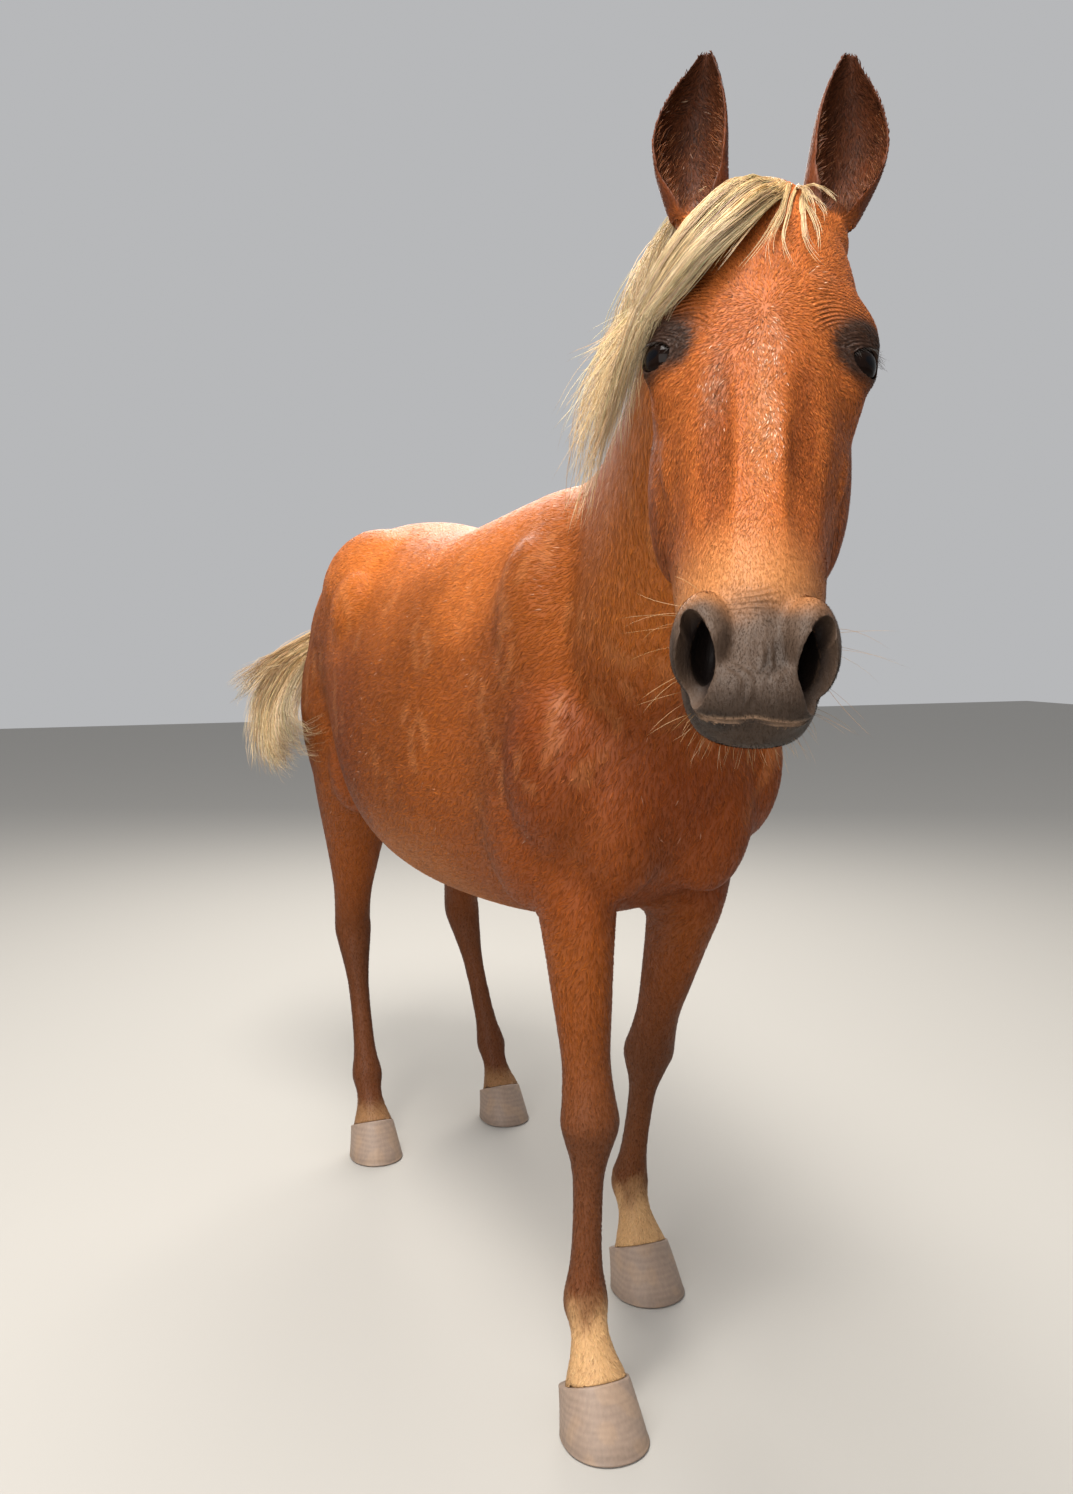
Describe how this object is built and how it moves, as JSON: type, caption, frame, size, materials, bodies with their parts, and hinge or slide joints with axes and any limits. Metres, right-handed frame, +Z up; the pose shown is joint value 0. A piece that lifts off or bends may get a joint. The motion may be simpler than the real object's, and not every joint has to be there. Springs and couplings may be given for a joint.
{
  "type": "pony",
  "caption": "Life-size standing pony with a chestnut coat and a pale mane and tail, head turned slightly to its right.",
  "frame": {"origin": "on the floor under the middle of the animal's bounding box", "axes": "+Z up; the pony faces -Y; its left side is +X"},
  "size_m": [0.7197, 2.2739, 1.7468],
  "materials": {
    "coat": "short chestnut hair over skin, darker on the lower legs and muzzle",
    "ear": "short hair outside, dark hair inside the cup",
    "eye": "dark brown, glossy and opaque",
    "hoof": "matte horn with faint growth rings",
    "long_hair": "pale, slightly glossy hair in locks"
  },
  "bodies": {
    "root": {"head": "coat", "ear_right": "ear", "ear_left": "ear", "eye_right": "eye", "eye_left": "eye", "neck": "coat", "torso": "coat", "fore_leg_right": "coat", "fore_leg_left": "coat", "hind_leg_right": "coat", "hind_leg_left": "coat", "fore_hoof_right": "hoof", "fore_hoof_left": "hoof", "hind_hoof_right": "hoof", "hind_hoof_left": "hoof", "tail": "long_hair"}
  },
  "joints": []
}
